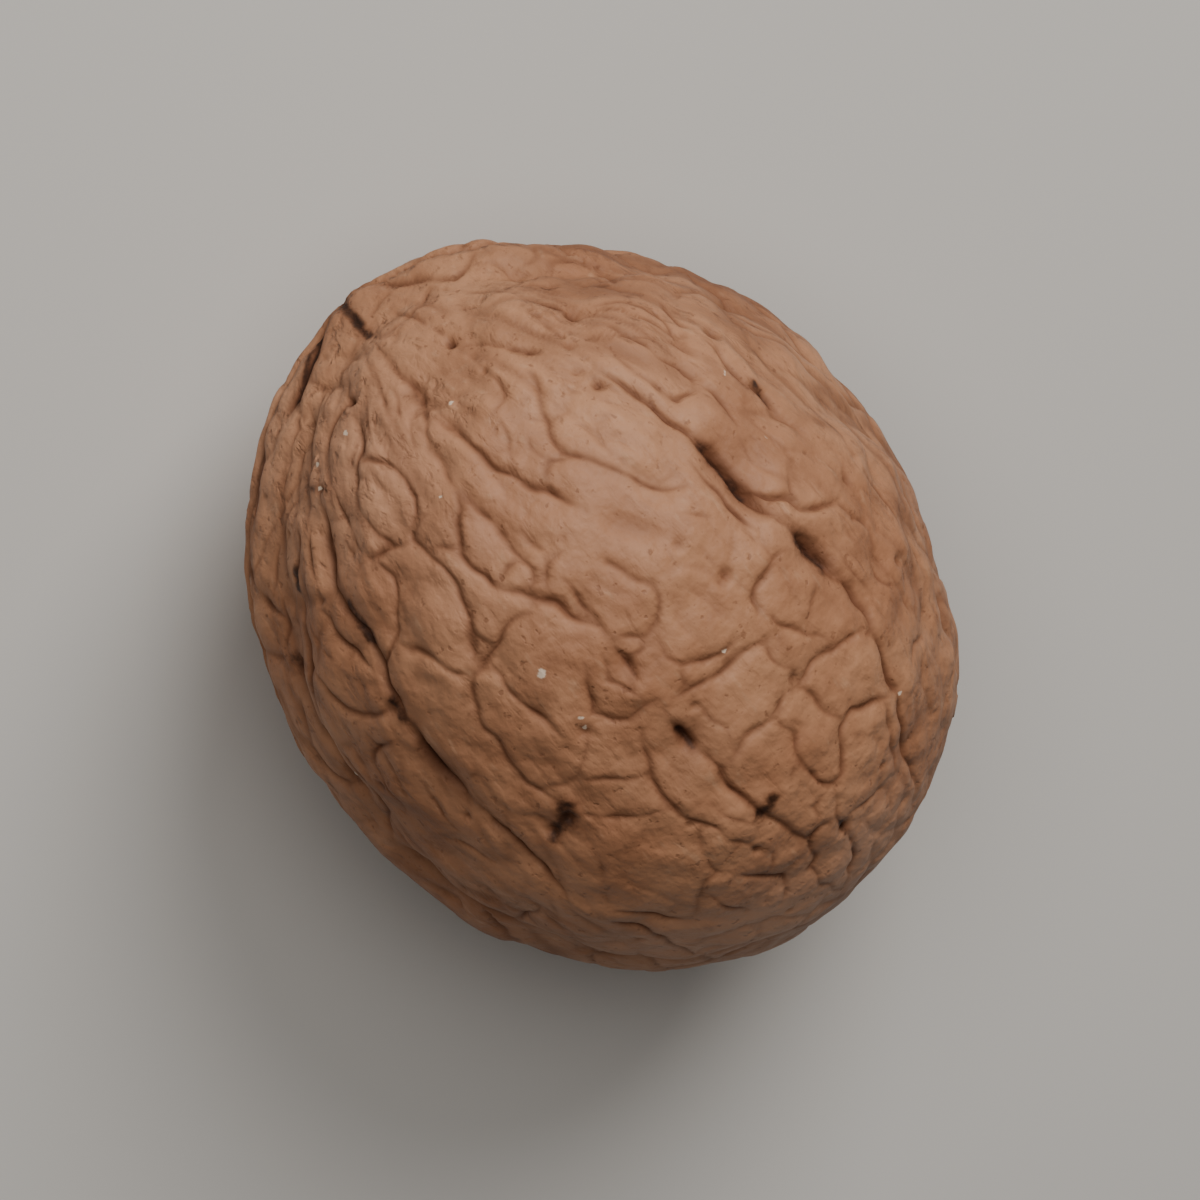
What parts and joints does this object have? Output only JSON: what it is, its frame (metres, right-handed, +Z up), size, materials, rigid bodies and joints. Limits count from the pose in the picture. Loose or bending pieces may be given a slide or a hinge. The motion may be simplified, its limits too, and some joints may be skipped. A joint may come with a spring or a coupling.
{
  "type": "walnut",
  "caption": "Whole walnut in its closed shell, lying on one cheek, with furrowed and netted cheeks, a seam ridge and a pointed tip.",
  "frame": {"origin": "on the surface the nut rests on, under the middle of its bounding box", "axes": "+X along the nut from its pointed tip to its blunt stem end, +Y across the nut to one side of the seam, +Z up through the cheek that faces up; the seam lies level at half height"},
  "size_m": [0.04, 0.0332, 0.0311],
  "materials": {
    "walnut_shell": "matt tan shell with darker furrows"
  },
  "bodies": {
    "root": {"walnut": "walnut_shell"}
  },
  "joints": []
}
